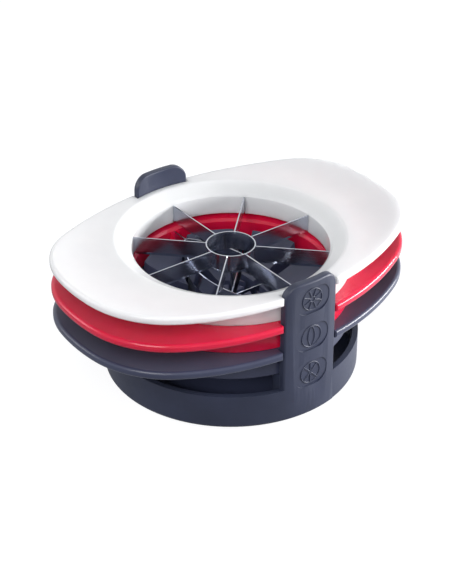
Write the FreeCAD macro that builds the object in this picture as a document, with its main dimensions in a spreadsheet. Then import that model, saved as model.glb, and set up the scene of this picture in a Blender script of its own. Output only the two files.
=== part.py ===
import FreeCAD, Part
import math
import os
import re

import Sketcher

# Three winged fruit dividers (apple, mango, wedge) stacked on a press base, in millimetres.
#
# Frame: origin at the centre of the footprint, +X along the wings, +Z up.
# The guide tab with the three marks stands at -Y and the plain one at +Y.
#
# Fruit stands on the slotted press block of the base. A divider is pushed down over it by its two
# wings, guided by the tabs, until its blades lie in the slots. For storage all three dividers sit
# on each other: each hub skirt rests on the plate below it.

SIZES = [
    # The opening for the fruit, and what is set out round it
    ("opening_radius", 49.0, "radius of the fruit opening"),
    ("collar_width", 8.0, "width of the dished collar round the opening"),
    ("base_margin", 7.5, "from the inside of a divider's skirt to the outside of the base"),
    ("side_setback", 0.5, "from the outside of the base back to a plate's long side"),
    ("wing_reach", 27.2, "how far a wing stands out past the base"),
    ("block_clearance", 4.0, "from the press block's top to the wall of the opening"),
    ("block_draft", 1.2, "how much wider the press block is at its foot"),
    ("foot_inset", 13.5, "from the outside of the base in to the middle of a foot"),
    ("collar_radius", "=opening_radius + collar_width", "inner radius of a skirt"),
    ("base_radius", "=collar_radius + base_margin", "outer radius of the base and its guide tabs"),
    ("side_reach", "=base_radius - side_setback", "from the axis to the middle of a long side"),
    ("wing_length", "=base_radius + wing_reach", "from the axis to the tip of a wing"),
    ("block_top_radius", "=opening_radius - block_clearance", "radius of the press block's top"),
    ("block_foot_radius", "=block_top_radius + block_draft", "radius of the press block's foot"),
    ("foot_circle", "=base_radius - foot_inset", "radius of the circle that the feet stand on"),
    # Base and guide tabs
    ("foot_height", 0.6, "gap under the base, bridged by the feet"),
    ("base_top", 19.0, "top of the base wall"),
    ("base_wall", 2.8, "thickness of the base wall"),
    ("base_round", 2.2, "round along the bottom edge of the base"),
    ("floor_under", 1.8, "underside of the base floor"),
    ("floor_thick", 2.4, "thickness of the base floor"),
    ("stand_rim", 3.4, "width of the rim that the underside stands back from"),
    ("tab_thick", 4.0, "thickness of a guide tab"),
    ("tab_foot_width", 31.0, "width of a guide tab at the base floor"),
    ("tab_top_width", 30.4, "width of a guide tab at its top"),
    ("tab_front", 76.0, "top of the front guide tab"),
    ("tab_rear", 81.0, "top of the rear guide tab"),
    ("tab_corner", 7.5, "corner radius at the top of a guide tab"),
    ("tab_round", 1.2, "round along the outer rim of a guide tab"),
    ("tab_inner_round", 0.7, "round along the inner rim of a guide tab"),
    ("mark_width", 20.0, "width of a mark recess"),
    ("mark_height", 14.0, "height of a mark recess"),
    ("mark_corner", 6.4, "corner radius of a mark recess"),
    ("mark_depth", 1.0, "depth of a mark recess on the centre line of the tab"),
    ("mark_lowest", 24.4, "height of the lowest mark"),
    ("mark_step", 20.6, "distance from mark to mark"),
    ("rib_thick", 2.4, "thickness of a seat rib"),
    ("rib_setback", 0.1, "step from the side of a tab to its seat rib"),
    ("rib_reach", 3.2, "how far a seat rib reaches past the inside of the skirt"),
    ("seat_height", 26.0, "height of the seat ribs, where the lowest divider rests"),
    # Feet
    ("foot_radius", 6.0, "radius of a foot"),
    ("foot_count", 4, "number of feet"),
    ("foot_sunk", 0.8, "depth of the recess that holds a foot"),
    ("foot_gap", 0.05, "clearance round a foot"),
    # Press block
    ("block_wall", 3.0, "wall of the hollow foot of the press block"),
    ("block_deck", 2.6, "thickness of the deck under the slots"),
    ("block_gap", 0.1, "clearance between the press block and its locating ring"),
    ("ring_wall", 1.6, "thickness of the locating ring on the base floor"),
    ("ring_height", 2.4, "height of the locating ring"),
    ("dish_low", 35.2, "height of the middle of the dished top"),
    ("dish_radius", 82.0, "radius of the dished top"),
    ("slot_floor", 23.0, "height of the slot floors"),
    ("slot_width", 3.0, "width of a blade slot in its straight part"),
    ("slot_bend", 31.0, "height where a blade slot starts to flare"),
    ("slot_mouth", 10.2, "width of a blade slot at the rim of the block"),
    ("ring_slot", 3.2, "width of the slots for the core ring and the stone ring"),
    # What the three dividers share
    ("stack_pitch", 15.0, "distance from divider to divider in the stack"),
    ("wing_rise", 3.6, "how far a wing tip is swept up"),
    ("wing_thick", 4.2, "thickness of the winged plate"),
    ("wing_edge", 1.5, "round along the edge of the winged plate"),
    ("end_radius", 105.0, "radius of a wing's end in plan"),
    ("wing_corner", 44.0, "corner radius of a wing in plan"),
    ("side_radius", 146.0, "radius of the plate's long sides in plan"),
    ("level_margin", 0.6, "how far the level middle of the plate reaches past the skirt"),
    ("hub_wall", 2.5, "thickness of the wall round the opening"),
    ("collar_drop", 3.8, "how far the collar falls to the opening"),
    ("collar_lead", 1.3, "width of the lead-in at the top of the opening"),
    ("collar_thick", 2.8, "thickness of the dished collar"),
    ("collar_round", 3.0, "round where the collar leaves the level plate"),
    ("skirt_thick", 2.4, "thickness of the skirt"),
    ("skirt_edge", 0.4, "round along the foot of the skirt"),
    ("notch_side", 0.5, "clearance beside a guide tab"),
    ("notch_back", 0.4, "clearance behind a guide tab"),
    ("notch_flare", 1.6, "flare at the mouth of a notch"),
    # Blades
    ("blade_thick", 0.6, "thickness of the blade steel"),
    ("blade_edge", 0.12, "thickness left at a cutting edge"),
    ("blade_bevel", 1.4, "height of the ground bevel"),
    ("blade_low", 0.2, "height of the cutting edges above the skirt's foot"),
    ("blade_top", 9.5, "height of the blades' backs above the skirt's foot"),
    ("blade_gap", 0.1, "clearance on each face of a blade in its slot"),
    ("tang_length", 2.6, "how far a tang reaches past the wall of the opening"),
    ("tang_step", 0.8, "step from the back of a blade to its tang"),
    ("blade_count", 8, "blades or half blades round the axis of the apple and the wedge divider"),
    ("core_radius", 12.4, "outer radius of the core ring"),
    ("core_top", 9.9, "height of the core ring's top above the skirt's foot"),
    ("stone_half_width", 15.0, "half the width of the stone ring"),
    ("stone_arc", 60.0, "radius of the stone ring's two sides"),
    ("stone_tip", 2.4, "radius of the stone ring's ends"),
    ("boss_width", 5.0, "width of a boss that holds a mango blade"),
    ("boss_depth", 1.6, "how far such a boss stands into the opening"),
    ("cross_gap", 0.06, "clearance where the long wedge blades cross"),
    # Clamp rings
    ("clamp_gap", 0.1, "clearance between a clamp ring and the hub's walls"),
    ("clamp_sunk", 0.4, "how far a clamp ring lies above the skirt's foot"),
    ("clamp_flange", 2.2, "thickness of a clamp ring's flange"),
    ("clamp_wall", 2.9, "thickness of a clamp ring's upright wall"),
    ("clamp_top", 8.6, "height of a clamp ring's top above the skirt's foot"),
]

# Heights and radii that several pieces share
FLOOR_TOP = "floor_under + floor_thick"
TAB_INNER = "base_radius - tab_thick"
SKIRT_RADIUS = "collar_radius + skirt_thick"
HUB_RADIUS = "opening_radius + hub_wall"
RIM_HEIGHT = "stack_pitch - collar_drop"
CLAMP_INNER = "opening_radius + hub_wall + clamp_gap"
TANG_RADIUS = "opening_radius + hub_wall + tang_length"
SLOT_GAP = "blade_thick + 2 * blade_gap"
COLLAR_SLOPE = "collar_drop / (collar_radius - opening_radius - collar_lead)"
TANG_LOW = "clamp_sunk + clamp_flange + blade_gap"
TANG_HIGH = "blade_top - tang_step"
STONE_END = "sqrt((stone_arc - stone_tip)^2 - (stone_arc - stone_half_width)^2) + stone_tip"
LEVEL = "collar_radius + skirt_thick + level_margin"

SEAT = {
    "wedge": "seat_height",
    "mango": "seat_height + stack_pitch",
    "apple": "seat_height + 2 * stack_pitch",
}

doc = FreeCAD.newDocument("fruit_divider_set")
sheet = doc.addObject("Spreadsheet::Sheet", "sizes")
for row, (alias, size, note) in enumerate(SIZES, start=1):
    sheet.set(f"A{row}", note)
    sheet.set(f"B{row}", str(size))
    sheet.setAlias(f"B{row}", alias)
doc.recompute()


# ---------------------------------------------------------------- helpers

def expression(text):
    """Point every size named in the text at its cell; sizes are the words with an underscore."""
    return re.sub(r"[a-z]+(?:_[a-z]+)+", lambda name: "sizes." + name.group(0), text)


def value(text):
    """The number that an expression stands for."""
    number = sheet.evalExpression(expression(text))
    return float(getattr(number, "Value", number))


def bind(thing, **expressions):
    """Tie properties of an object to the sheet."""
    for name, text in expressions.items():
        thing.setExpression(name, expression(text))


def new_body(label, seat=None, turn=0.0):
    """A body that is turned about Z and raised to its seat."""
    body = doc.addObject("PartDesign::Body", label)
    body.Label = label
    body.Placement = FreeCAD.Placement(FreeCAD.Vector(), FreeCAD.Rotation(FreeCAD.Vector(0, 0, 1), turn))
    if seat:
        body.setExpression("Placement.Base.z", expression(seat))
    return body


def origin_plane(body, role):
    """One of the body's own origin planes or axes."""
    return next(item for item in body.Origin.OriginFeatures if item.Role == role)


def new_sketch(body, name, role, offset=None):
    """A sketch on an origin plane of the body, moved along the plane's normal by offset."""
    sketch = body.newObject("Sketcher::SketchObject", f"{body.Name}_{name}")
    sketch.AttachmentSupport = (origin_plane(body, role), [""])
    sketch.MapMode = "FlatFace"
    if offset:
        sketch.setExpression("AttachmentOffset.Base.z", expression(offset))
    return sketch


def constrain(sketch, text, kind, *where):
    """A dimension whose value comes from the sheet."""
    index = sketch.addConstraint(Sketcher.Constraint(kind, *where, value(text)))
    sketch.setExpression(f"Constraints[{index}]", expression(text))


def place(sketch, element, point, x, y):
    """Put a point of a sketch element at x, y."""
    for kind, text, axis in (("DistanceX", x, -2), ("DistanceY", y, -1)):
        if text == "0":
            sketch.addConstraint(Sketcher.Constraint("PointOnObject", element, point, axis))
        else:
            constrain(sketch, text, kind, -1, 1, element, point)


def polygon(sketch, corners):
    """A closed outline through corners given as pairs of expressions."""
    spots = [FreeCAD.Vector(value(x), value(y), 0) for x, y in corners]
    first = sketch.GeometryCount
    for start, end in zip(spots, spots[1:] + spots[:1]):
        sketch.addGeometry(Part.LineSegment(start, end))
    for index, (x, y) in enumerate(corners):
        before = first + (index - 1) % len(corners)
        sketch.addConstraint(Sketcher.Constraint("Coincident", before, 2, first + index, 1))
        place(sketch, first + index, 1, x, y)


def rectangle(sketch, x, y, x_end, y_end):
    """A rectangle between two opposite corners."""
    polygon(sketch, [(x, y), (x_end, y), (x_end, y_end), (x, y_end)])


def circle(sketch, radius, x="0", y="0"):
    """A circle of a given radius about x, y."""
    centre = FreeCAD.Vector(value(x), value(y), 0)
    element = sketch.addGeometry(Part.Circle(centre, FreeCAD.Vector(0, 0, 1), value(radius)))
    if x == y == "0":
        sketch.addConstraint(Sketcher.Constraint("Coincident", element, 3, -1, 1))
    else:
        place(sketch, element, 3, x, y)
    constrain(sketch, radius, "Radius", element)


def arc(sketch, centre, radius, start, end):
    """An arc that runs counter-clockwise between two angles in radians."""
    round_line = Part.Circle(FreeCAD.Vector(*centre, 0), FreeCAD.Vector(0, 0, 1), radius)
    return sketch.addGeometry(Part.ArcOfCircle(round_line, start, end))


def lens(sketch, grow):
    """The stone ring's outline, grown by an expression: two long sides and two rounded ends."""
    side = f"(stone_arc + {grow})"
    end = f"(stone_tip + {grow})"
    offset = value("stone_arc - stone_half_width")
    tip = math.sqrt((value(side) - value(end)) ** 2 - offset ** 2)
    lean = math.atan2(tip, offset)
    right = arc(sketch, (-offset, 0), value(side), -lean, lean)
    top = arc(sketch, (0, tip), value(end), lean, math.pi - lean)
    left = arc(sketch, (offset, 0), value(side), math.pi - lean, math.pi + lean)
    bottom = arc(sketch, (0, -tip), value(end), math.pi + lean, 2 * math.pi - lean)
    for before, after in ((right, top), (top, left), (left, bottom), (bottom, right)):
        sketch.addConstraint(Sketcher.Constraint("Tangent", before, 2, after, 1))
    place(sketch, right, 3, "stone_half_width - stone_arc", "0")
    place(sketch, left, 3, "stone_arc - stone_half_width", "0")
    constrain(sketch, side, "Radius", right)
    constrain(sketch, side, "Radius", left)
    constrain(sketch, end, "Radius", top)
    constrain(sketch, end, "Radius", bottom)


def settle(made):
    """Recompute and stop at a feature that failed."""
    doc.recompute()
    if {"Invalid", "Error"} & set(made.State):
        raise RuntimeError(f"{made.Name} failed: {made.State}")
    return made


def feature(body, kind, name, sketch, **expressions):
    """A sketch-based feature of the body."""
    made = body.newObject(f"PartDesign::{kind}", f"{body.Name}_{name}")
    made.Profile = sketch
    bind(made, **expressions)
    return made


def revolve(body, name, sketch):
    """Turn a profile in the XZ plane about Z."""
    made = feature(body, "Revolution", name, sketch)
    made.ReferenceAxis = (sketch, ["V_Axis"])
    made.Angle = 360
    return settle(made)


def pad(body, name, sketch, length, both_ways=False):
    """Add a prism along the sketch's normal."""
    made = feature(body, "Pad", name, sketch, Length=length)
    if both_ways:
        made.SideType = "Symmetric"
    return settle(made)


def cut(body, name, sketch, forward=True, both_ways=False, length=None):
    """Cut a length or right through, on one side of a sketch or both; it has to take material."""
    before = body.Shape.Volume
    made = feature(body, "Pocket", name, sketch)
    if length:
        bind(made, Length=length)
    else:
        made.Type = "ThroughAll"
    if both_ways:
        made.SideType = "Symmetric"
    else:
        made.Reversed = forward
    settle(made)
    if body.Shape.Volume >= before:
        raise RuntimeError(f"{made.Name} cuts nothing")
    return made


def polar(body, name, original, angle, copies):
    """Repeat a feature about Z; the angle runs from the first copy to the last."""
    made = body.newObject("PartDesign::PolarPattern", f"{body.Name}_{name}")
    made.Originals = [original]
    made.Axis = (origin_plane(body, "Z_Axis"), [""])
    bind(made, Angle=angle, Occurrences=copies)
    body.Tip = made
    return settle(made)


def mirror(body, name, original, role):
    """Repeat a feature on the other side of an origin plane."""
    made = body.newObject("PartDesign::Mirrored", f"{body.Name}_{name}")
    made.Originals = [original]
    made.MirrorPlane = (origin_plane(body, role), [""])
    body.Tip = made
    return settle(made)


def fillet(body, name, radius, wanted):
    """Round the edges of the body that pass a test on the edge."""
    base = body.Tip
    edges = [f"Edge{number}" for number, edge in enumerate(base.Shape.Edges, start=1) if wanted(edge)]
    made = body.newObject("PartDesign::Fillet", f"{body.Name}_{name}")
    made.Base = (base, edges)
    bind(made, Radius=radius)
    return settle(made)


def near(number, target, slack=0.02):
    """Whether two lengths are the same within a small slack."""
    return abs(number - target) < slack


def from_axis(point):
    """Distance of a point from the Z axis."""
    return math.hypot(point.x, point.y)


def ends(edge):
    """The two end points of an edge, which are one on a closed edge."""
    return edge.Vertexes[0].Point, edge.Vertexes[-1].Point


def middle(edge):
    """The point halfway along an edge."""
    return edge.valueAt((edge.FirstParameter + edge.LastParameter) / 2)


# ---------------------------------------------------------------- base

def foot_spot(index):
    """Where a foot stands: expressions for its x and y, with the first foot half a step from +X."""
    angle = f"360 / foot_count * ({index} + 1 / 2)"
    return f"foot_circle * cos({angle})", f"foot_circle * sin({angle})"


def make_base():
    """Tray with a wall, a floor, a locating ring, two guide tabs, four seat ribs and foot recesses."""
    body = new_body("base_stand")

    tray = new_sketch(body, "tray", "XZ_Plane")
    polygon(tray, [
        ("0", "floor_under"),
        ("base_radius - stand_rim", "floor_under"),
        ("base_radius - stand_rim", "foot_height"),
        ("base_radius", "foot_height"),
        ("base_radius", "base_top"),
        ("base_radius - base_wall", "base_top"),
        ("base_radius - base_wall", FLOOR_TOP),
        ("block_foot_radius + block_gap + ring_wall", FLOOR_TOP),
        ("block_foot_radius + block_gap + ring_wall", f"{FLOOR_TOP} + ring_height"),
        ("block_foot_radius + block_gap", f"{FLOOR_TOP} + ring_height"),
        ("block_foot_radius + block_gap", FLOOR_TOP),
        ("0", FLOOR_TOP),
    ])
    revolve(body, "tray_turn", tray)

    def bottom_edge(edge):
        return near(edge.BoundBox.ZMax, value("foot_height")) and near(
            from_axis(middle(edge)), value("base_radius"))

    fillet(body, "bottom_round", "base_round", bottom_edge)

    # Tabs: one elevation right across the base, hollowed from inside and turned off outside
    elevation = new_sketch(body, "tabs", "XZ_Plane")
    polygon(elevation, [
        ("-tab_foot_width / 2", "floor_under"),
        ("tab_foot_width / 2", "floor_under"),
        ("tab_top_width / 2", "tab_rear"),
        ("-tab_top_width / 2", "tab_rear"),
    ])
    pad(body, "tabs_pad", elevation, "2 * base_radius + 2 * tab_thick", both_ways=True)
    front_top = new_sketch(body, "front_top", "XZ_Plane")
    rectangle(front_top, "-tab_foot_width", "tab_front", "tab_foot_width", "tab_rear + tab_thick")
    cut(body, "front_top_cut", front_top)
    outside = new_sketch(body, "outside", "XY_Plane")
    circle(outside, "base_radius")
    circle(outside, "base_radius + 2 * tab_thick")
    cut(body, "outside_cut", outside)
    inside = new_sketch(body, "inside", "XY_Plane", f"{FLOOR_TOP} + ring_height")
    circle(inside, TAB_INNER)
    cut(body, "inside_cut", inside)
    clear_ring = new_sketch(body, "clear_ring", "XY_Plane", FLOOR_TOP)
    circle(clear_ring, TAB_INNER)
    circle(clear_ring, "block_foot_radius + block_gap + ring_wall")
    cut(body, "clear_ring_cut", clear_ring)
    clear_block = new_sketch(body, "clear_block", "XY_Plane", FLOOR_TOP)
    circle(clear_block, "block_foot_radius + block_gap")
    cut(body, "clear_block_cut", clear_block)

    def top_corner(edge):
        first, last = ends(edge)
        top = value("tab_front" if first.y < 0 else "tab_rear")
        return near(first.z, top) and near(last.z, top) and near(first.x, last.x)

    def rim_at(radius):
        def test(edge):
            high = edge.BoundBox.ZMax > value("base_top + tab_round")
            return high and all(near(from_axis(spot), radius) for spot in (*ends(edge), middle(edge)))
        return test

    fillet(body, "tab_corners", "tab_corner", top_corner)
    fillet(body, "tab_rims", "tab_round", rim_at(value("base_radius")))
    fillet(body, "tab_inner_rims", "tab_inner_round", rim_at(value(TAB_INNER)))

    # Seat ribs at the foot of each tab carry the lowest skirt
    ribs = new_sketch(body, "ribs", "XY_Plane", FLOOR_TOP)
    inner_end = "-(collar_radius - rib_reach)"
    outer_end = "-sqrt((base_radius - tab_thick / 2)^2 - (tab_top_width / 2)^2)"
    side = "tab_top_width / 2 - rib_setback"
    rectangle(ribs, f"-({side})", outer_end, f"-({side}) + rib_thick", inner_end)
    rectangle(ribs, f"{side} - rib_thick", outer_end, side, inner_end)
    front_ribs = pad(body, "ribs_pad", ribs, f"seat_height - ({FLOOR_TOP})")
    mirror(body, "rear_ribs", front_ribs, "XZ_Plane")

    # Three rounded recesses down the front of the tab
    for index in range(3):
        marks = new_sketch(body, f"mark_{index}", "XZ_Plane", "base_radius - mark_depth")
        height = f"mark_lowest + {index} * mark_step"
        rectangle(marks, "-mark_width / 2", f"{height} - mark_height / 2",
                  "mark_width / 2", f"{height} + mark_height / 2")
        cut(body, f"mark_{index}_cut", marks)

    def mark_corner(edge):
        first, last = ends(edge)
        across = near(first.x, last.x) and near(first.z, last.z) and not near(first.y, last.y)
        return across and first.y < 0 and near(abs(first.x), value("mark_width / 2"))

    fillet(body, "mark_corners", "mark_corner", mark_corner)

    recess = new_sketch(body, "foot_recess", "XY_Plane", "floor_under + foot_sunk")
    circle(recess, "foot_radius + foot_gap", *foot_spot(0))
    first_recess = cut(body, "foot_recess_cut", recess, forward=False)
    polar(body, "foot_recesses", first_recess, "360", "foot_count")
    return body


def make_feet():
    """Soft discs let into the underside."""
    discs = []
    for index in range(int(value("foot_count"))):
        disc = doc.addObject("Part::Cylinder", f"foot_disc_{index}")
        bind(disc, Radius="foot_radius", Height="floor_under + foot_sunk")
        x, y = foot_spot(index)
        disc.setExpression("Placement.Base.x", expression(x))
        disc.setExpression("Placement.Base.y", expression(y))
        discs.append(disc)
    feet = doc.addObject("Part::Compound", "rubber_feet")
    feet.Links = discs
    return feet


def make_block():
    """Hollow-footed block with a dished top, cut into pillars by the slots for every blade."""
    body = new_body("press_block")

    profile = new_sketch(body, "profile", "XZ_Plane")
    rim = "dish_low + dish_radius - sqrt(dish_radius^2 - block_top_radius^2)"
    corners = [
        ("block_top_radius", rim),
        ("block_foot_radius", FLOOR_TOP),
        ("block_foot_radius - block_wall", FLOOR_TOP),
        ("block_foot_radius - block_wall", "slot_floor - block_deck"),
        ("0", "slot_floor - block_deck"),
        ("0", "dish_low"),
    ]
    spots = [FreeCAD.Vector(value(x), value(y), 0) for x, y in corners]
    for start, end in zip(spots, spots[1:]):
        profile.addGeometry(Part.LineSegment(start, end))
    for index, (x, y) in enumerate(corners[:-1]):
        place(profile, index, 1, x, y)
    place(profile, len(corners) - 2, 2, *corners[-1])
    for index in range(len(corners) - 2):
        profile.addConstraint(Sketcher.Constraint("Coincident", index, 2, index + 1, 1))
    reach = math.asin(value("block_top_radius / dish_radius"))
    dish = arc(profile, (0, value("dish_low + dish_radius")), value("dish_radius"),
               -math.pi / 2, -math.pi / 2 + reach)
    profile.addConstraint(Sketcher.Constraint("Coincident", dish, 1, len(corners) - 2, 2))
    profile.addConstraint(Sketcher.Constraint("Coincident", dish, 2, 0, 1))
    profile.addConstraint(Sketcher.Constraint("PointOnObject", dish, 3, -2))
    revolve(body, "profile_turn", profile)

    slot = new_sketch(body, "slot", "XZ_Plane")
    polygon(slot, [
        ("-slot_width / 2", "slot_floor"),
        ("slot_width / 2", "slot_floor"),
        ("slot_width / 2", "slot_bend"),
        ("slot_mouth / 2", rim),
        ("slot_mouth / 2", f"{rim} + block_deck"),
        ("-slot_mouth / 2", f"{rim} + block_deck"),
        ("-slot_mouth / 2", rim),
        ("-slot_width / 2", "slot_bend"),
    ])
    first_slot = cut(body, "slot_cut", slot, both_ways=True)
    polar(body, "slots", first_slot, "180 - 360 / blade_count", "blade_count / 2")

    core = new_sketch(body, "core_slot", "XY_Plane", "slot_floor")
    circle(core, "core_radius - blade_thick / 2 + ring_slot / 2")
    circle(core, "core_radius - blade_thick / 2 - ring_slot / 2")
    cut(body, "core_slot_cut", core)
    stone = new_sketch(body, "stone_slot", "XY_Plane", "slot_floor")
    lens(stone, "(ring_slot - blade_thick) / 2")
    lens(stone, "(-ring_slot - blade_thick) / 2")
    cut(body, "stone_slot_cut", stone)
    return body


# ---------------------------------------------------------------- dividers

def plate_outline(sketch):
    """Plan of a plate: two long bowed sides, two flatter wing ends, four round corners between."""
    side, end, corner = value("side_radius"), value("end_radius"), value("wing_corner")
    side_shift = value("side_radius - side_reach")
    end_shift = value("end_radius - wing_length")
    # A corner's centre lies on one circle about each of the two arcs that it joins
    near_side, near_end = side - corner, end - corner
    apart = math.hypot(end_shift, side_shift)
    along = (near_end ** 2 - near_side ** 2 + apart ** 2) / (2 * apart)
    across = math.sqrt(near_end ** 2 - along ** 2)
    x = -end_shift + (along * end_shift + across * side_shift) / apart
    y = (across * end_shift - along * side_shift) / apart
    lean = math.atan2(x, y + side_shift)
    turn = math.atan2(y, x + end_shift)
    quarter = math.pi / 2
    ring = [
        arc(sketch, (-end_shift, 0), end, -turn, turn),
        arc(sketch, (x, y), corner, turn, quarter - lean),
        arc(sketch, (0, -side_shift), side, quarter - lean, quarter + lean),
        arc(sketch, (-x, y), corner, quarter + lean, 2 * quarter - turn),
        arc(sketch, (end_shift, 0), end, 2 * quarter - turn, 2 * quarter + turn),
        arc(sketch, (-x, -y), corner, 2 * quarter + turn, 3 * quarter - lean),
        arc(sketch, (0, side_shift), side, 3 * quarter - lean, 3 * quarter + lean),
        arc(sketch, (x, -y), corner, 3 * quarter + lean, 4 * quarter - turn),
    ]
    for before, after in zip(ring, ring[1:] + ring[:1]):
        sketch.addConstraint(Sketcher.Constraint("Tangent", before, 2, after, 1))
    for element, sign in ((ring[0], "-"), (ring[4], "")):
        place(sketch, element, 3, f"{sign}(end_radius - wing_length)", "0")
        constrain(sketch, "end_radius", "Radius", element)
    for element, sign in ((ring[2], "-"), (ring[6], "")):
        place(sketch, element, 3, "0", f"{sign}(side_radius - side_reach)")
        constrain(sketch, "side_radius", "Radius", element)
    for element in ring[1::2]:
        constrain(sketch, "wing_corner", "Radius", element)


def plate_profile(sketch):
    """Plate's profile from the axis outwards: level middle, upswept rim of the same thickness."""
    bend = f"((wing_length - ({LEVEL}))^2 + wing_rise^2) / (2 * wing_rise)"
    under = "stack_pitch - wing_thick"
    cut_off = "wing_length + wing_thick"
    half, sweep, run = value(LEVEL), value(bend), value(cut_off)
    centre = value("stack_pitch") + sweep
    lift = math.asin((run - half) / sweep)
    drop = math.asin((run - half) / (sweep + value("wing_thick")))
    top = sketch.addGeometry(Part.LineSegment(
        FreeCAD.Vector(0, value("stack_pitch"), 0), FreeCAD.Vector(half, value("stack_pitch"), 0)))
    upper = arc(sketch, (half, centre), sweep, -math.pi / 2, -math.pi / 2 + lift)
    lower = arc(sketch, (half, centre), sweep + value("wing_thick"), -math.pi / 2, -math.pi / 2 + drop)
    tip = sketch.addGeometry(Part.LineSegment(
        FreeCAD.Vector(run, centre - sweep * math.cos(lift), 0),
        FreeCAD.Vector(run, centre - (sweep + value("wing_thick")) * math.cos(drop), 0)))
    bottom = sketch.addGeometry(Part.LineSegment(
        FreeCAD.Vector(half, value(under), 0), FreeCAD.Vector(0, value(under), 0)))
    middle_line = sketch.addGeometry(Part.LineSegment(
        FreeCAD.Vector(0, value(under), 0), FreeCAD.Vector(0, value("stack_pitch"), 0)))
    joints = ((top, 2, upper, 1), (upper, 2, tip, 1), (tip, 2, lower, 2), (lower, 1, bottom, 1),
              (bottom, 2, middle_line, 1), (middle_line, 2, top, 1), (upper, 3, lower, 3))
    for first, first_end, second, second_end in joints:
        sketch.addConstraint(Sketcher.Constraint("Coincident", first, first_end, second, second_end))
    place(sketch, top, 1, "0", "stack_pitch")
    place(sketch, top, 2, LEVEL, "stack_pitch")
    place(sketch, bottom, 1, LEVEL, under)
    place(sketch, bottom, 2, "0", under)
    place(sketch, upper, 3, LEVEL, f"stack_pitch + {bend}")
    sketch.addConstraint(Sketcher.Constraint("Vertical", tip))
    constrain(sketch, cut_off, "DistanceX", -1, 1, tip, 1)


def notch_outline(sketch):
    """Notch at -Y that slides along a guide tab: round back, straight sides and a flared mouth."""
    half = "tab_foot_width / 2 + notch_side"
    back = f"{TAB_INNER} - notch_back"
    depth = math.sqrt(value(back) ** 2 - value(half) ** 2)
    lean = math.atan2(value(half), depth)
    mouth = "side_reach - notch_flare"
    far = "side_reach + notch_flare"
    back_arc = arc(sketch, (0, 0), value(back), -math.pi / 2 - lean, -math.pi / 2 + lean)
    sketch.addConstraint(Sketcher.Constraint("Coincident", back_arc, 3, -1, 1))
    constrain(sketch, back, "Radius", back_arc)
    right = [(half, None), (half, mouth), (f"{half} + 2 * notch_flare", far)]
    left = [(f"-({x})", y) for x, y in reversed(right)]
    corners = right + left
    spots = [FreeCAD.Vector(value(x), -(value(y) if y else depth), 0) for x, y in corners]
    lines = [sketch.addGeometry(Part.LineSegment(start, end)) for start, end in zip(spots, spots[1:])]
    for before, after in zip(lines, lines[1:]):
        sketch.addConstraint(Sketcher.Constraint("Coincident", before, 2, after, 1))
    sketch.addConstraint(Sketcher.Constraint("Coincident", back_arc, 2, lines[0], 1))
    sketch.addConstraint(Sketcher.Constraint("Coincident", lines[-1], 2, back_arc, 1))
    constrain(sketch, half, "DistanceX", -1, 1, lines[0], 1)
    constrain(sketch, f"-({half})", "DistanceX", -1, 1, lines[-1], 2)
    for line, (x, y) in zip(lines[1:], corners[1:-1]):
        place(sketch, line, 1, x, f"-({y})")


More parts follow.
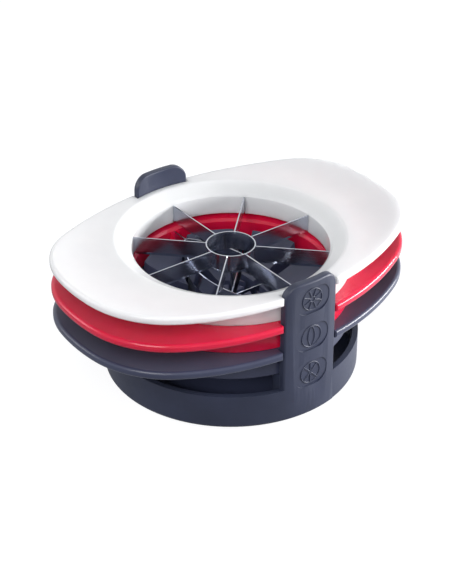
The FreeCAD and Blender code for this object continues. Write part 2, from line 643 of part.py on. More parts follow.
def make_frame(kind, slots, slot_plane, bossed=False):
    """Winged plate with upswept tips, a dished collar, a slotted hub wall and a skirt."""
    body = new_body(f"{kind}_frame", SEAT[kind])

    profile = new_sketch(body, "profile", "XZ_Plane")
    plate_profile(profile)
    revolve(body, "plate_turn", profile)

    # Plan of the plate: everything outside the outline goes
    plan = new_sketch(body, "plan", "XY_Plane")
    plate_outline(plan)
    rectangle(plan, "-wing_length - 2 * wing_thick", "-wing_length - 2 * wing_thick",
              "wing_length + 2 * wing_thick", "wing_length + 2 * wing_thick")
    cut(body, "plan_cut", plan)

    def plate_edge(edge):
        first, last = ends(edge)
        upright = near(first.x, last.x) and near(first.y, last.y)
        seam = all(near(from_axis(point), value(LEVEL)) for point in (first, middle(edge), last))
        return not upright and not seam

    fillet(body, "plate_edges", "wing_edge", plate_edge)

    notch = new_sketch(body, "notch", "XY_Plane")
    notch_outline(notch)
    front_notch = cut(body, "notch_cut", notch)
    mirror(body, "rear_notch", front_notch, "XZ_Plane")

    # The hub takes the place of the plate's middle
    room = new_sketch(body, "room", "XY_Plane")
    circle(room, "collar_radius + skirt_thick / 2")
    cut(body, "room_cut", room)
    hub = new_sketch(body, "hub", "XZ_Plane")
    polygon(hub, [
        ("opening_radius", "0"),
        (HUB_RADIUS, "0"),
        (HUB_RADIUS, f"{RIM_HEIGHT} + {COLLAR_SLOPE} * (hub_wall - collar_lead) - collar_thick"),
        ("collar_radius", "stack_pitch - collar_thick"),
        ("collar_radius", "0"),
        (SKIRT_RADIUS, "0"),
        (SKIRT_RADIUS, "stack_pitch"),
        ("collar_radius", "stack_pitch"),
        ("opening_radius + collar_lead", RIM_HEIGHT),
        ("opening_radius", f"{RIM_HEIGHT} - collar_lead"),
    ])
    revolve(body, "hub_turn", hub)

    def ring_edge(radius, height):
        def test(edge):
            level = near(edge.BoundBox.ZMin, height) and near(edge.BoundBox.ZMax, height)
            return level and near(from_axis(middle(edge)), radius)
        return test

    fillet(body, "collar_edge", "collar_round", ring_edge(value("collar_radius"), value("stack_pitch")))
    fillet(body, "rim_edge", "collar_lead", ring_edge(value("opening_radius + collar_lead"), value(RIM_HEIGHT)))
    fillet(body, "skirt_foot", "skirt_edge", ring_edge(value(SKIRT_RADIUS), 0))

    if bossed:
        boss = new_sketch(body, "boss", "XY_Plane")
        rectangle(boss, "-boss_width / 2", "opening_radius - boss_depth",
                  "boss_width / 2", "opening_radius + hub_wall / 2")
        rear_boss = pad(body, "boss_pad", boss, "blade_top")
        mirror(body, "front_boss", rear_boss, "XZ_Plane")

    # Slots for the blades, open at the foot of the hub wall
    slot = new_sketch(body, "slot", slot_plane, "opening_radius - boss_depth - blade_gap")
    rectangle(slot, f"-({SLOT_GAP}) / 2", "-skirt_edge", f"({SLOT_GAP}) / 2", "blade_top + blade_gap")
    first_slot = cut(body, "slot_cut", slot, length="boss_depth + hub_wall + 2 * blade_gap")
    polar(body, "slots", first_slot, "360", slots)
    return body


def make_clamp_ring(kind, slots, slot_plane):
    """Ring inside the hub that traps the blades' tangs in slots of its upright wall."""
    body = new_body(f"{kind}_clamp_ring", SEAT[kind])
    section = new_sketch(body, "section", "XZ_Plane")
    polygon(section, [
        (CLAMP_INNER, "clamp_sunk"),
        ("collar_radius - clamp_gap", "clamp_sunk"),
        ("collar_radius - clamp_gap", "clamp_sunk + clamp_flange"),
        (f"{CLAMP_INNER} + clamp_wall", "clamp_sunk + clamp_flange"),
        (f"{CLAMP_INNER} + clamp_wall", "clamp_top"),
        (CLAMP_INNER, "clamp_top"),
    ])
    revolve(body, "section_turn", section)
    slot = new_sketch(body, "slot", slot_plane, HUB_RADIUS)
    rectangle(slot, f"-({SLOT_GAP}) / 2", "clamp_sunk + clamp_flange", f"({SLOT_GAP}) / 2", "blade_top")
    first_slot = cut(body, "slot_cut", slot, length="tang_length + blade_gap")
    polar(body, "slots", first_slot, "360", slots)
    return body


def make_blade(label, kind, turn, inner, lap=None):
    """Ground steel strip with a tang at its outer end; without an inner end it runs right across."""
    body = new_body(label, SEAT[kind], turn)
    section = new_sketch(body, "section", "YZ_Plane", inner)
    half, thin = "blade_thick / 2", "blade_edge / 2"
    polygon(section, [
        (f"-{half}", "blade_top"),
        (f"-{half}", "blade_low + blade_bevel"),
        (f"-{thin}", "blade_low"),
        (thin, "blade_low"),
        (half, "blade_low + blade_bevel"),
        (half, "blade_top"),
    ])
    if inner:
        pad(body, "section_pad", section, f"{TANG_RADIUS} - ({inner})")
    else:
        pad(body, "section_pad", section, f"2 * ({TANG_RADIUS})", both_ways=True)

    steps = new_sketch(body, "steps", "XZ_Plane")
    for sign in ("",) if inner else ("", "-"):
        start, end = f"{sign}({HUB_RADIUS})", f"{sign}({TANG_RADIUS} + tang_step)"
        rectangle(steps, start, TANG_HIGH, end, "blade_top + tang_step")
        rectangle(steps, start, "-tang_step", end, TANG_LOW)
    cut(body, "steps_cut", steps, both_ways=True)

    if lap:
        low, high = lap
        notch = new_sketch(body, "lap", "XZ_Plane")
        rectangle(notch, "-blade_thick / 2 - cross_gap", low, "blade_thick / 2 + cross_gap", high)
        cut(body, "lap_cut", notch, both_ways=True)
    return body


def make_core_ring():
    """Steel ring with a ground foot that the eight apple blades are welded to."""
    body = new_body("apple_core_ring", SEAT["apple"])
    section = new_sketch(body, "section", "XZ_Plane")
    polygon(section, [
        ("core_radius - blade_thick", "blade_low"),
        ("core_radius - blade_thick + blade_edge", "blade_low"),
        ("core_radius", "blade_low + blade_bevel"),
        ("core_radius", "core_top"),
        ("core_radius - blade_thick", "core_top"),
    ])
    revolve(body, "section_turn", section)
    return body


def make_stone_ring():
    """Pointed steel ring that passes round the stone of a mango."""
    body = new_body("mango_stone_ring", SEAT["mango"])
    outline = new_sketch(body, "outline", "XY_Plane", "blade_low")
    lens(outline, "0 * stone_tip")
    lens(outline, "-blade_thick")
    pad(body, "outline_pad", outline, "core_top - blade_low")
    return body


# ---------------------------------------------------------------- build, check and write

pieces = [make_base(), make_feet(), make_block()]

pieces.append(make_frame("wedge", "blade_count", "YZ_Plane"))
pieces.append(make_clamp_ring("wedge", "blade_count", "YZ_Plane"))
mid_blade = "(blade_low + blade_top) / 2"
pieces.append(make_blade("wedge_cross_blade_a", "wedge", 0, None, (mid_blade, "blade_top + tang_step")))
pieces.append(make_blade("wedge_cross_blade_b", "wedge", 90, None, ("-tang_step", mid_blade)))
corner = "blade_thick / 2 * (1 + sqrt(2)) + cross_gap"
blade_count = int(value("blade_count"))
for number in range(blade_count // 2):
    turn = 360 / blade_count * (2 * number + 1)
    pieces.append(make_blade(f"wedge_blade_{number + 1}", "wedge", turn, corner))

pieces.append(make_frame("mango", "2", "XZ_Plane", bossed=True))
pieces.append(make_clamp_ring("mango", "2", "XZ_Plane"))
pieces.append(make_stone_ring())
pieces.append(make_blade("mango_blade_front", "mango", -90, STONE_END))
pieces.append(make_blade("mango_blade_rear", "mango", 90, STONE_END))

pieces.append(make_frame("apple", "blade_count", "YZ_Plane"))
pieces.append(make_clamp_ring("apple", "blade_count", "YZ_Plane"))
pieces.append(make_core_ring())
for number in range(blade_count):
    pieces.append(make_blade(f"apple_blade_{number + 1}", "apple", 360 * number / blade_count, "core_radius"))

doc.recompute()
for thing in doc.Objects:
    if {"Invalid", "Error"} & set(thing.State):
        raise RuntimeError(f"{thing.Name} failed: {thing.State}")
for piece in pieces:
    if piece.Shape.isNull() or not piece.Shape.isValid():
        raise RuntimeError(f"{piece.Label} has no valid shape")

os.makedirs("parts", exist_ok=True)
for piece in pieces:
    piece.Shape.exportStep(f"parts/{piece.Label}.step")
    box = piece.Shape.BoundBox
    print(f"{piece.Label}: {len(piece.Shape.Solids)} solids, {piece.Shape.Volume:.0f} mm3,"
          f" z {box.ZMin:.2f} to {box.ZMax:.2f}")
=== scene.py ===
# %% [markdown]
# # A set of fruit dividers on its press base
#
# The object is a kitchen tool: three winged dividers, white for apples, red for mangoes and slate
# for wedges, stacked on a round base. Two tabs on the base guide the dividers down over the fruit,
# and a block cut into pillars pushes the fruit right through the blades.
#
# Every hard shape comes from the CAD model, already in its place. This script gives each piece the
# surface of the real one, adds the small details that a CAD source leaves out, and sets up the
# studio. It starts by loading the model.

# %% Load the model
import math

import bmesh
import bpy
from mathutils import Matrix, Vector


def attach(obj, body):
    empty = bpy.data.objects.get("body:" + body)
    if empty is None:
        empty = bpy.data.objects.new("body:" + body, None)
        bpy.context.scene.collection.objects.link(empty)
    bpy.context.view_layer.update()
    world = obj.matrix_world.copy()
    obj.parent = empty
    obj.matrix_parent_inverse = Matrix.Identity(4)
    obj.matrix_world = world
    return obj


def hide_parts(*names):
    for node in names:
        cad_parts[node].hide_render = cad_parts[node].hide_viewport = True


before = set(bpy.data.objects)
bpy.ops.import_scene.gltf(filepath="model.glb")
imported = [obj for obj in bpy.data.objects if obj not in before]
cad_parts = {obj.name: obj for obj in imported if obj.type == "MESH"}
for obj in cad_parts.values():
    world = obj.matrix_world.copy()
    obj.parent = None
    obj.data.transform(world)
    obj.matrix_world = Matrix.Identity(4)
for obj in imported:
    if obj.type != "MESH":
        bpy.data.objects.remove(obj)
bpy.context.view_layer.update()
MM = 0.001


# %% [markdown]
# ## Colours and nodes
#
# A colour on a screen is written as a hex value, which is not a plain measure of light. Blender
# wants plain light, so one function turns the hex value into it. A second one adds a node with its
# settings and links, so that each finish below reads as a short list. A third one starts a finish.

# %% Helpers for the finishes
def light_of(colour):
    """Turn a colour such as #c4002a into plain light, by the curve of the sRGB standard."""
    shares = [int(colour[place:place + 2], 16) / 255 for place in (1, 3, 5)]
    return [share / 12.92 if share <= 0.04045 else ((share + 0.055) / 1.055) ** 2.4
            for share in shares] + [1.0]


def add(tree, kind, inputs=None, **settings):
    """Add a node. Each input gets a plain value or is linked to another node's output."""
    node = tree.nodes.new("ShaderNode" + kind)
    for name, setting in settings.items():
        setattr(node, name, setting)
    for name, source in (inputs or {}).items():
        if isinstance(source, bpy.types.NodeSocket):
            tree.links.new(source, node.inputs[name])
        else:
            node.inputs[name].default_value = source
    return node


def new_finish(name):
    """A new material with its shader, and the object's own coordinates in metres."""
    material = bpy.data.materials.new(name)
    material.use_nodes = True
    tree = material.node_tree
    shader = tree.nodes["Principled BSDF"]
    place = add(tree, "TexCoord").outputs["Object"]
    return material, tree, shader, place

# %% [markdown]
# ## Moulded plastic
#
# The dividers and the base are injection-moulded ABS. Up close such a surface is never quite even:
# the melt leaves broad, faint clouds of tone, the tool's surface leaves a fine grain, and handling
# leaves patches that are a little smoother. Three noises at those three sizes do it. The grain is
# a bump, because it only bends the light. It is drawn coarser than the real one, which would be
# too fine to show. A faint sheen stands for the haze that a grained surface shows where one looks
# along it.

# %% Moulded ABS in any colour
ABS_IOR = 1.53
CLOUD_SIZE, PATCH_SIZE = 28 * MM, 9 * MM
SMOOTHEST, ROUGHEST = 0.86, 1.14
HAZE_COLOUR, HAZE_ROUGHNESS = "#dfe6f2", 0.45


def moulded_abs(name, colour, cloud_colour, roughness, grain_mm, grain_depth_mm, sheen=0.0):
    """ABS as it leaves the mould: clouds of tone, smoother patches and a fine grain."""
    material, tree, shader, place = new_finish(name)
    clouds = add(tree, "TexNoise", {"Vector": place, "Scale": 1 / CLOUD_SIZE, "Detail": 3.0,
                                    "Roughness": 0.55})
    tone = add(tree, "ValToRGB", {"Fac": clouds.outputs["Fac"]})
    plain, cloudy = tone.color_ramp.elements
    plain.position, plain.color = 0.35, light_of(colour)
    cloudy.position, cloudy.color = 0.70, light_of(cloud_colour)
    tree.links.new(tone.outputs["Color"], shader.inputs["Base Color"])

    patches = add(tree, "TexNoise", {"Vector": place, "Scale": 1 / PATCH_SIZE, "Detail": 4.0,
                                     "Roughness": 0.6})
    gloss = add(tree, "MapRange", {"Value": patches.outputs["Fac"],
                                   "From Min": 0.3, "From Max": 0.7,
                                   "To Min": roughness * SMOOTHEST, "To Max": roughness * ROUGHEST})
    tree.links.new(gloss.outputs["Result"], shader.inputs["Roughness"])

    grain = add(tree, "TexNoise", {"Vector": place, "Scale": 1 / (grain_mm * MM), "Detail": 2.0,
                                   "Roughness": 0.5})
    bump = add(tree, "Bump", {"Height": grain.outputs["Fac"], "Strength": 1.0,
                              "Distance": grain_depth_mm * MM})
    tree.links.new(bump.outputs["Normal"], shader.inputs["Normal"])
    shader.inputs["IOR"].default_value = ABS_IOR
    shader.inputs["Sheen Weight"].default_value = sheen
    shader.inputs["Sheen Roughness"].default_value = HAZE_ROUGHNESS
    shader.inputs["Sheen Tint"].default_value = light_of(HAZE_COLOUR)
    print("moulded finish:", name)
    return material


# %% The five kinds of moulded plastic
slate_base = moulded_abs("slate_abs_spark_textured", "#21273d", "#2a3048", roughness=0.48,
                         grain_mm=0.45, grain_depth_mm=0.006, sheen=0.14)
slate_divider = moulded_abs("slate_abs_satin", "#343850", "#3b4058", roughness=0.33,
                            grain_mm=0.7, grain_depth_mm=0.004, sheen=0.18)
slate_press = moulded_abs("slate_abs_polished", "#373c54", "#3f445d", roughness=0.36,
                          grain_mm=1.1, grain_depth_mm=0.004, sheen=0.12)
red_divider = moulded_abs("crimson_abs_gloss", "#d30c3a", "#dd1544", roughness=0.235,
                          grain_mm=0.8, grain_depth_mm=0.003, sheen=0.06)
white_divider = moulded_abs("white_abs_gloss", "#f0f2f4", "#f4f6f8", roughness=0.23,
                            grain_mm=0.8, grain_depth_mm=0.003)

# %% [markdown]
# White and red ABS let light in a few millimetres, which softens their shadows. In the red one,
# only the red part of the light gets far. Blender calls this subsurface scattering: a weight says
# how much of the light goes in, and a radius for each colour says how far it spreads.

# %% Light inside the plastic
def let_light_in(material, share, depth_mm, spread):
    """Let a share of the light into the plastic, where it spreads before it comes out again."""
    shader = material.node_tree.nodes["Principled BSDF"]
    shader.inputs["Subsurface Weight"].default_value = share
    shader.inputs["Subsurface Radius"].default_value = spread
    shader.inputs["Subsurface Scale"].default_value = depth_mm * MM
    print(material.name, "lets light in", depth_mm, "mm")


let_light_in(white_divider, share=0.8, depth_mm=7, spread=(1.0, 1.0, 1.0))
let_light_in(red_divider, share=0.4, depth_mm=5, spread=(1.0, 0.12, 0.18))

# %% [markdown]
# ## Ground stainless steel
#
# The blades are strip steel, ground along their length and then polished, so they mirror what is
# round them with a faint drag in one direction. All blades point at the axis. Reading the noise at
# the distance from the axis, squeezed, and at the height, stretched, makes the marks follow every
# blade, whichever way it points. The cutting bevel is ground across, on the lowest 1.45 mm. Real
# grinding marks are too fine to show, so these are drawn some ten times as coarse.

# %% Blade steel
STACK_FOOT, STACK_PITCH, BEVEL_TOP = 26.2 * MM, 15 * MM, 1.45 * MM
# How many marks there are to a millimetre, along a blade and up its side
DRAG_ALONG, DRAG_UP = 0.06 / MM, 5.2 / MM
CROSS_ALONG, CROSS_UP = 4.2 / MM, 0.12 / MM
MARK_DEPTH = 0.004 * MM


def ground_steel():
    """Stainless strip, polished along its length, with a cross-ground bevel at its foot."""
    material, tree, shader, place = new_finish("stainless_strip_ground")
    flat = add(tree, "VectorMath", {0: place, 1: (1, 1, 0)}, operation="MULTIPLY")
    radius = add(tree, "VectorMath", {0: flat.outputs["Vector"]}, operation="LENGTH")
    height = add(tree, "SeparateXYZ", {"Vector": place})
    along = add(tree, "CombineXYZ", {"X": radius.outputs["Value"], "Z": height.outputs["Z"]})
    long_marks = add(tree, "Mapping", {"Vector": along.outputs["Vector"],
                                       "Scale": (DRAG_ALONG, 1, DRAG_UP)})
    drag = add(tree, "TexNoise", {"Vector": long_marks.outputs["Vector"], "Scale": 1.0,
                                  "Detail": 3.0})
    cross_marks = add(tree, "Mapping", {"Vector": along.outputs["Vector"],
                                        "Scale": (CROSS_ALONG, 1, CROSS_UP)})
    cross = add(tree, "TexNoise", {"Vector": cross_marks.outputs["Vector"], "Scale": 1.0,
                                   "Detail": 2.0})

    above_foot = add(tree, "Math", {0: height.outputs["Z"], 1: STACK_FOOT}, operation="SUBTRACT")
    in_divider = add(tree, "Math", {0: above_foot.outputs[0], 1: STACK_PITCH}, operation="MODULO")
    bevel = add(tree, "Math", {0: in_divider.outputs[0], 1: BEVEL_TOP}, operation="LESS_THAN")
    marks = add(tree, "Mix", {"Factor": bevel.outputs[0], "A": drag.outputs["Fac"],
                              "B": cross.outputs["Fac"]})

    gloss = add(tree, "MapRange", {"Value": marks.outputs["Result"],
                                   "From Min": 0.3, "From Max": 0.7,
                                   "To Min": 0.14, "To Max": 0.26})
    tree.links.new(gloss.outputs["Result"], shader.inputs["Roughness"])
    tone = add(tree, "ValToRGB", {"Fac": marks.outputs["Result"]})
    groove, ridge = tone.color_ramp.elements
    groove.position, groove.color = 0.3, light_of("#c3c7d3")
    ridge.position, ridge.color = 0.7, light_of("#d6dae4")
    tree.links.new(tone.outputs["Color"], shader.inputs["Base Color"])
    bump = add(tree, "Bump", {"Height": marks.outputs["Result"], "Strength": 0.2,
                              "Distance": MARK_DEPTH})
    tree.links.new(bump.outputs["Normal"], shader.inputs["Normal"])
    shader.inputs["Metallic"].default_value = 1.0
    print("steel:", material.name)
    return material


blade_steel = ground_steel()

# %% [markdown]
# ## Rubber feet
#
# The feet are punched from soft sheet rubber, which is almost black and has no shine. A talc-like
# bloom makes its surface uneven, with specks of about a millimetre.

# %% Foot rubber
BLOOM_SIZE, BLOOM_DEPTH = 1.2 * MM, 0.03 * MM


def sheet_rubber():
    """Dark sheet rubber with a dusty bloom."""
    material, tree, shader, place = new_finish("sheet_rubber_matt")
    bloom = add(tree, "TexNoise", {"Vector": place, "Scale": 1 / BLOOM_SIZE, "Detail": 5.0})
    tone = add(tree, "ValToRGB", {"Fac": bloom.outputs["Fac"]})
    bare, dusty = tone.color_ramp.elements
    bare.color, dusty.color = light_of("#17171a"), light_of("#2b2b2f")
    tree.links.new(tone.outputs["Color"], shader.inputs["Base Color"])
    bump = add(tree, "Bump", {"Height": bloom.outputs["Fac"], "Distance": BLOOM_DEPTH})
    tree.links.new(bump.outputs["Normal"], shader.inputs["Normal"])
    shader.inputs["Roughness"].default_value = 0.85
    print("rubber:", material.name)
    return material


foot_rubber = sheet_rubber()

# %% [markdown]
# ## Dressing the CAD pieces
#
# The CAD pieces keep their meshes. Each gets its finish through its material slot: the feet, the
# blades and the two steel rings by their names, everything else by the first word of its name,
# which says the divider or the part of the base that it belongs to.

# %% Hand out the finishes
PLASTIC_OF = {"base": slate_base, "press": slate_press, "wedge": slate_divider,
              "mango": red_divider, "apple": white_divider}


def finish_for(name):
    """The finish of a CAD piece, from its name."""
    if name == "rubber_feet":
        return foot_rubber
    if "blade" in name or name in ("apple_core_ring", "mango_stone_ring"):
        return blade_steel
    return PLASTIC_OF[name.split("_")[0]]


for name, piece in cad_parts.items():
    for slot in piece.material_slots:
        slot.material = finish_for(name)
print("dressed", len(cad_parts), "CAD pieces")

# %% [markdown]
# ## New pieces
#
# The pieces that this script adds are drawn in a bmesh, which is a mesh that Blender's modelling
# operators can work on. When it is done, it becomes a plain mesh, and an object shows that mesh in
# the scene. The floor, the lamps and the camera get their objects in the same way.

# %% From a bmesh to an object in the scene
def mesh_of(work, name):
    """Turn a finished bmesh into a plain mesh and free its memory."""
    mesh = bpy.data.meshes.new(name)
    work.to_mesh(mesh)
    work.free()
    return mesh


def in_scene(name, data):
    """Put an object into the scene that shows a mesh, a lamp or a camera."""
    thing = bpy.data.objects.new(name, data)
    bpy.context.scene.collection.objects.link(thing)
    return thing

# %% [markdown]
# ## Soft edges on the press block and the base
#
# The press block is one moulding, cut into pillars by the slots that the blades drop into. A mould
# leaves no sharp edge, and the pillars' soft edges are what catches the light deep in the opening.
# The base gets the same treatment, with a smaller round, for the edges of its tabs and recesses.
# A copy of the CAD mesh has its loose triangles merged and its flat faces joined, so that a Bevel
# modifier finds clean edges to round.

# %% Copies with soft edges
MERGE_WITHIN = 0.002 * MM
FLAT_WITHIN, SHARP_FROM = math.radians(0.5), math.radians(35)


def softened(node, name, body, material, width_mm):
    """A merged copy of a CAD piece whose sharp edges get a round of the given width."""
    work = bmesh.new()
    work.from_mesh(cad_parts[node].data)
    bmesh.ops.remove_doubles(work, verts=work.verts, dist=MERGE_WITHIN)
    bmesh.ops.dissolve_limit(work, angle_limit=FLAT_WITHIN, verts=work.verts, edges=work.edges,
                             delimit={"NORMAL"})
    for face in work.faces:
        face.smooth = True
    mesh = mesh_of(work, name)
    mesh.set_sharp_from_angle(angle=SHARP_FROM)
    mesh.materials.append(material)

    copy = in_scene(name, mesh)
    bevel = copy.modifiers.new("soft_edges", "BEVEL")
    bevel.width = width_mm * MM
    bevel.segments = 3
    bevel.limit_method = "ANGLE"
    bevel.angle_limit = SHARP_FROM
    bevel.use_clamp_overlap = True
    bevel.harden_normals = True
    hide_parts(node)
    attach(copy, body)
    print(name, "has", len(mesh.polygons), "faces before its edges are rounded")


softened("press_block", "press_block_rounded", "base", slate_press, width_mm=0.7)
softened("base_stand", "base_stand_rounded", "base", slate_base, width_mm=0.45)

# %% [markdown]
# ## Marks on the front tab
#
# Three recesses down the front tab show the blade layout of each divider: eight spokes round a
# hub, a pointed oval, and crossing lines. Each line is a low bead with a half-round section. A ring
# is that section spun about the mark's middle, and a straight line is a thin box with two of its
# edges bevelled. Each mark is drawn lying flat, then turned to face the front.

# %% Round beads
BEAD_WIDTH, BEAD_HEIGHT = 0.72 * MM, 0.42 * MM
FULL_TURN, DEGREES_PER_STEP, FEWEST_STEPS = 360, 7.5, 6


def bead_section(work, radius):
    """A low half-round section in the XZ plane, at a distance from the Z axis."""
    made = bmesh.ops.create_circle(work, cap_ends=False, segments=12, radius=BEAD_WIDTH / 2)
    turn = Matrix.Translation((radius, 0, 0)) @ Matrix.Rotation(math.pi / 2, 4, "X")
    squeeze = Matrix.Diagonal((1, 2 * BEAD_HEIGHT / BEAD_WIDTH, 1, 1))
    bmesh.ops.transform(work, matrix=turn @ squeeze, verts=made["verts"])
    return made["verts"]


def ring(work, radius, centre=(0, 0), start=0, sweep=FULL_TURN):
    """A bead bent round a centre, closed or as an arc from a starting angle in degrees."""
    earlier = set(work.verts)
    verts = bead_section(work, radius)
    edges = [edge for edge in work.edges if edge.verts[0] in verts]
    bmesh.ops.rotate(work, cent=(0, 0, 0), matrix=Matrix.Rotation(math.radians(start), 3, "Z"),
                     verts=verts)
    closed = sweep == FULL_TURN
    steps = max(FEWEST_STEPS, round(sweep / DEGREES_PER_STEP))
    bmesh.ops.spin(work, geom=verts + edges, cent=(0, 0, 0), axis=(0, 0, 1),
                   angle=math.radians(sweep), steps=steps, use_merge=closed)
    bead = [vert for vert in work.verts if vert not in earlier]
    if not closed:
        ends = [edge for edge in work.edges if edge.is_boundary and edge.verts[0] in bead]
        bmesh.ops.holes_fill(work, edges=ends)
    bmesh.ops.translate(work, vec=(*centre, 0), verts=bead)


# %% Straight beads
LINE_ROUND = 0.22 * MM


def line(work, inner, outer, angle):
    """A straight bead on a ray from the mark's middle, at an angle in degrees."""
    verts = bmesh.ops.create_cube(work, size=1.0)["verts"]
    bmesh.ops.scale(work, vec=(outer - inner, BEAD_WIDTH, 2 * BEAD_HEIGHT), verts=verts)
    long_top_edges = [edge for edge in work.edges
                      if all(vert in verts and vert.co.z > 0 for vert in edge.verts)
                      and edge.verts[0].co.y == edge.verts[1].co.y]
    turn = Matrix.Rotation(math.radians(angle), 4, "Z")
    shift = Matrix.Translation(((inner + outer) / 2, 0, 0))
    bmesh.ops.transform(work, matrix=turn @ shift, verts=verts)
    bmesh.ops.bevel(work, geom=long_top_edges, offset=LINE_ROUND, offset_type="OFFSET",
                    segments=3, profile=0.5, affect="EDGES", material=-1)


# %% From a flat drawing to a mark on the tab
MARK_FACE, MARK_RADIUS = -63.5 * MM, 5.7 * MM
UPPER_RECESS, MIDDLE_RECESS, LOWER_RECESS = 65.6 * MM, 45.0 * MM, 24.4 * MM


def finish_mark(work, name, height):
    """Turn a flat mark to face the front, set it on the floor of its recess and let it ride."""
    stand = Matrix.Translation((0, MARK_FACE, height)) @ Matrix.Rotation(math.pi / 2, 4, "X")
    bmesh.ops.transform(work, matrix=stand, verts=work.verts)
    bmesh.ops.recalc_face_normals(work, faces=work.faces)
    mesh = mesh_of(work, name)
    mesh.shade_smooth()
    mesh.set_sharp_from_angle(angle=math.radians(50))
    mesh.materials.append(slate_base)
    mark = in_scene(name, mesh)
    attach(mark, "base")
    print(name, "has", len(mesh.polygons), "faces")


# %% Eight spokes round a hub
SPOKES, HUB_RADIUS = 8, 1.35 * MM
work = bmesh.new()
ring(work, MARK_RADIUS)
ring(work, HUB_RADIUS)
for spoke in range(SPOKES):
    line(work, HUB_RADIUS, MARK_RADIUS, (spoke + 0.5) * FULL_TURN / SPOKES)
finish_mark(work, "mark_eight_spokes", UPPER_RECESS)

# %% [markdown]
# The pointed oval is two arcs that meet on the circle. Each has its centre on the far side of the
# mark's middle, so its distance and its sweep follow from its radius and the circle's.

# %% A pointed oval in a circle
OVAL_SIDE = 9.1 * MM
oval_shift = math.sqrt(OVAL_SIDE ** 2 - MARK_RADIUS ** 2)
oval_angle = math.degrees(math.asin(MARK_RADIUS / OVAL_SIDE))
work = bmesh.new()
ring(work, MARK_RADIUS)
ring(work, OVAL_SIDE, (-oval_shift, 0), -oval_angle, 2 * oval_angle)
ring(work, OVAL_SIDE, (oval_shift, 0), FULL_TURN / 2 - oval_angle, 2 * oval_angle)
finish_mark(work, "mark_pointed_oval", MIDDLE_RECESS)

# %% Crossing lines in a circle
work = bmesh.new()
ring(work, MARK_RADIUS)
for angle in (45, 90, 135):
    line(work, -MARK_RADIUS, MARK_RADIUS, angle)
finish_mark(work, "mark_crossing_lines", LOWER_RECESS)

# %% [markdown]
# ## The studio
#
# The set stands on a seamless pale floor in soft light from all round. The sky gives a part of the
# light to dull surfaces. To the eye it is plain white, and in reflections it is white at the
# horizon and a little greyer overhead, so that steel and gloss show a white studio with some shape
# in it. Light paths tell the three apart, so the white that the eye sees lights nothing.

# %% Sky
SKY_COLOUR, SKY_LIGHT = "#f4f6fa", 0.38
LOW_SKY, HIGH_SKY, HIGH_GREY = 0.05, 0.85, 0.70
WHITE = (1, 1, 1, 1)

world = bpy.data.worlds.new("studio")
bpy.context.scene.world = world
world.use_nodes = True
sky = world.node_tree
sky.nodes.clear()
path = add(sky, "LightPath")
mirrored = add(sky, "Math", {0: path.outputs["Is Glossy Ray"],
                             1: path.outputs["Is Transmission Ray"]}, operation="MAXIMUM")
direction = add(sky, "SeparateXYZ", {"Vector": add(sky, "TexCoord").outputs["Generated"]})
falloff = add(sky, "MapRange", {"Value": direction.outputs["Z"], "From Min": LOW_SKY,
                                "From Max": HIGH_SKY, "To Min": 1.0, "To Max": HIGH_GREY})
soft = add(sky, "Background", {"Color": light_of(SKY_COLOUR), "Strength": SKY_LIGHT})
studio = add(sky, "Background", {"Color": WHITE, "Strength": falloff.outputs["Result"]})
white = add(sky, "Background", {"Color": WHITE, "Strength": 1.0})
unseen = add(sky, "MixShader", {0: mirrored.outputs[0], 1: soft.outputs[0], 2: studio.outputs[0]})
mixed = add(sky, "MixShader", {0: path.outputs["Is Camera Ray"], 1: unseen.outputs[0],
                               2: white.outputs[0]})
add(sky, "OutputWorld", {"Surface": mixed.outputs[0]})
print("sky light:", SKY_LIGHT)

# %% [markdown]
# The floor is pale paper that takes the object's shadow. A white glow on top of it, which only the
# eye and reflections get, makes it nearly as bright as the sky. In reflections it is weak on the
# left and full on the right, which gives the curved walls a dark and a bright side.

# %% Floor
FLOOR_HALF = 3.0
PAPER_COLOUR, PAPER_GLOW = "#7e7f84", 0.88
WEAK_TO, FULL_FROM, WEAK_SHARE = 0.0, 120 * MM, 0.25

work = bmesh.new()
bmesh.ops.create_grid(work, x_segments=2, y_segments=2, size=FLOOR_HALF)
floor = in_scene("floor", mesh_of(work, "floor"))

paper, tree, shader, place = new_finish("pale_paper")
shader.inputs["Base Color"].default_value = light_of(PAPER_COLOUR)
shader.inputs["Roughness"].default_value = 0.9
shader.inputs["Specular IOR Level"].default_value = 0.0
glow = add(tree, "Emission", {"Color": WHITE, "Strength": PAPER_GLOW})
path = add(tree, "LightPath")
across = add(tree, "SeparateXYZ", {"Vector": place})
sweep = add(tree, "MapRange", {"Value": across.outputs["X"], "From Min": WEAK_TO,
                               "From Max": FULL_FROM, "To Min": WEAK_SHARE, "To Max": 1.0})
faint = add(tree, "Math", {0: path.outputs["Is Glossy Ray"], 1: sweep.outputs["Result"]},
            operation="MULTIPLY")
seen = add(tree, "Math", {0: path.outputs["Is Camera Ray"], 1: faint.outputs[0]},
           operation="MAXIMUM")
added = add(tree, "AddShader", {0: shader.outputs[0], 1: glow.outputs[0]})
both = add(tree, "MixShader", {0: seen.outputs[0], 1: shader.outputs[0], 2: added.outputs[0]})
tree.links.new(both.outputs[0], tree.nodes["Material Output"].inputs["Surface"])
floor.data.materials.append(paper)
print("floor glow:", PAPER_GLOW)

# %% [markdown]
# Four large softboxes shape the forms. The key light stands high at the front left. One behind on
# the left brightens the far rims, a low one at the right grazes the tab and the base wall, and a
# weak one overhead fills the opening. All of them aim at the middle of the set.

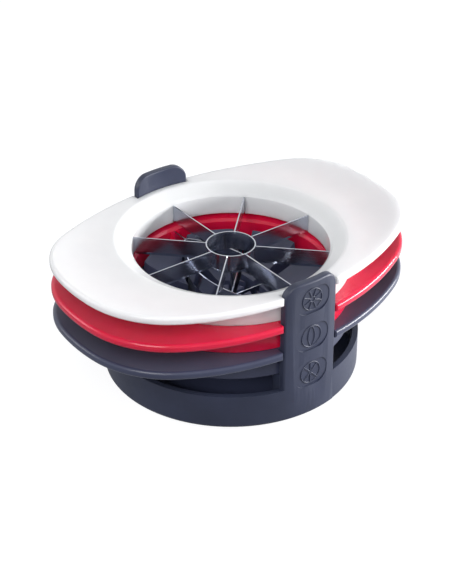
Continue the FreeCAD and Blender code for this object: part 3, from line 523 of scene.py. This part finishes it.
# %% Softboxes
MIDDLE = Vector((0, 0, 40 * MM))


def softbox(name, spot, width, height, watts):
    """A rectangular area light that looks at the middle of the set."""
    lamp = bpy.data.lights.new(name, "AREA")
    lamp.shape = "RECTANGLE"
    lamp.size, lamp.size_y = width, height
    lamp.energy = watts
    holder = in_scene(name, lamp)
    holder.location = spot
    holder.rotation_mode = "QUATERNION"
    holder.rotation_quaternion = (MIDDLE - holder.location).to_track_quat("-Z", "Y")
    print(name, "gives", watts, "W")


softbox("key_box", (-0.70, -0.62, 0.80), width=0.60, height=0.60, watts=8.2)
softbox("overhead_box", (0.25, 0.30, 1.00), width=0.60, height=0.60, watts=0.6)
softbox("left_box", (-0.85, 0.80, 0.42), width=0.50, height=0.70, watts=3.0)
softbox("right_box", (1.00, -0.58, 0.22), width=0.70, height=0.30, watts=24.0)

# %% [markdown]
# ## The camera
#
# It looks down on the set from the front left, at the angle from which all three plates, the
# blades and the front tab show. The lens is long, so the circles stay nearly even ellipses. Its
# focal length and shift are counted in pixels of a render 584 pixels high, and the sensor's size
# turns them into what Blender's camera takes.

# %% Camera
AZIMUTH, ELEVATION, DISTANCE = math.radians(-36.81), math.radians(31.75), 0.800
RENDER_HEIGHT, FOCAL_LENGTH, SHIFT_RIGHT, SHIFT_UP = 584, 1596, -4.76, -3.73
SENSOR = 36.0

back = Vector((math.sin(AZIMUTH) * math.cos(ELEVATION),
               -math.cos(AZIMUTH) * math.cos(ELEVATION), math.sin(ELEVATION)))
lens = bpy.data.cameras.new("view")
lens.sensor_width = SENSOR
lens.lens = FOCAL_LENGTH / RENDER_HEIGHT * SENSOR
lens.shift_x = SHIFT_RIGHT / RENDER_HEIGHT
lens.shift_y = SHIFT_UP / RENDER_HEIGHT
camera = in_scene("view", lens)
camera.location = MIDDLE + back * DISTANCE
camera.rotation_mode = "QUATERNION"
camera.rotation_quaternion = (-back).to_track_quat("-Z", "Y")
bpy.context.scene.camera = camera
bpy.context.scene.view_settings.view_transform = "Standard"
print("camera at", [round(x, 3) for x in camera.location])
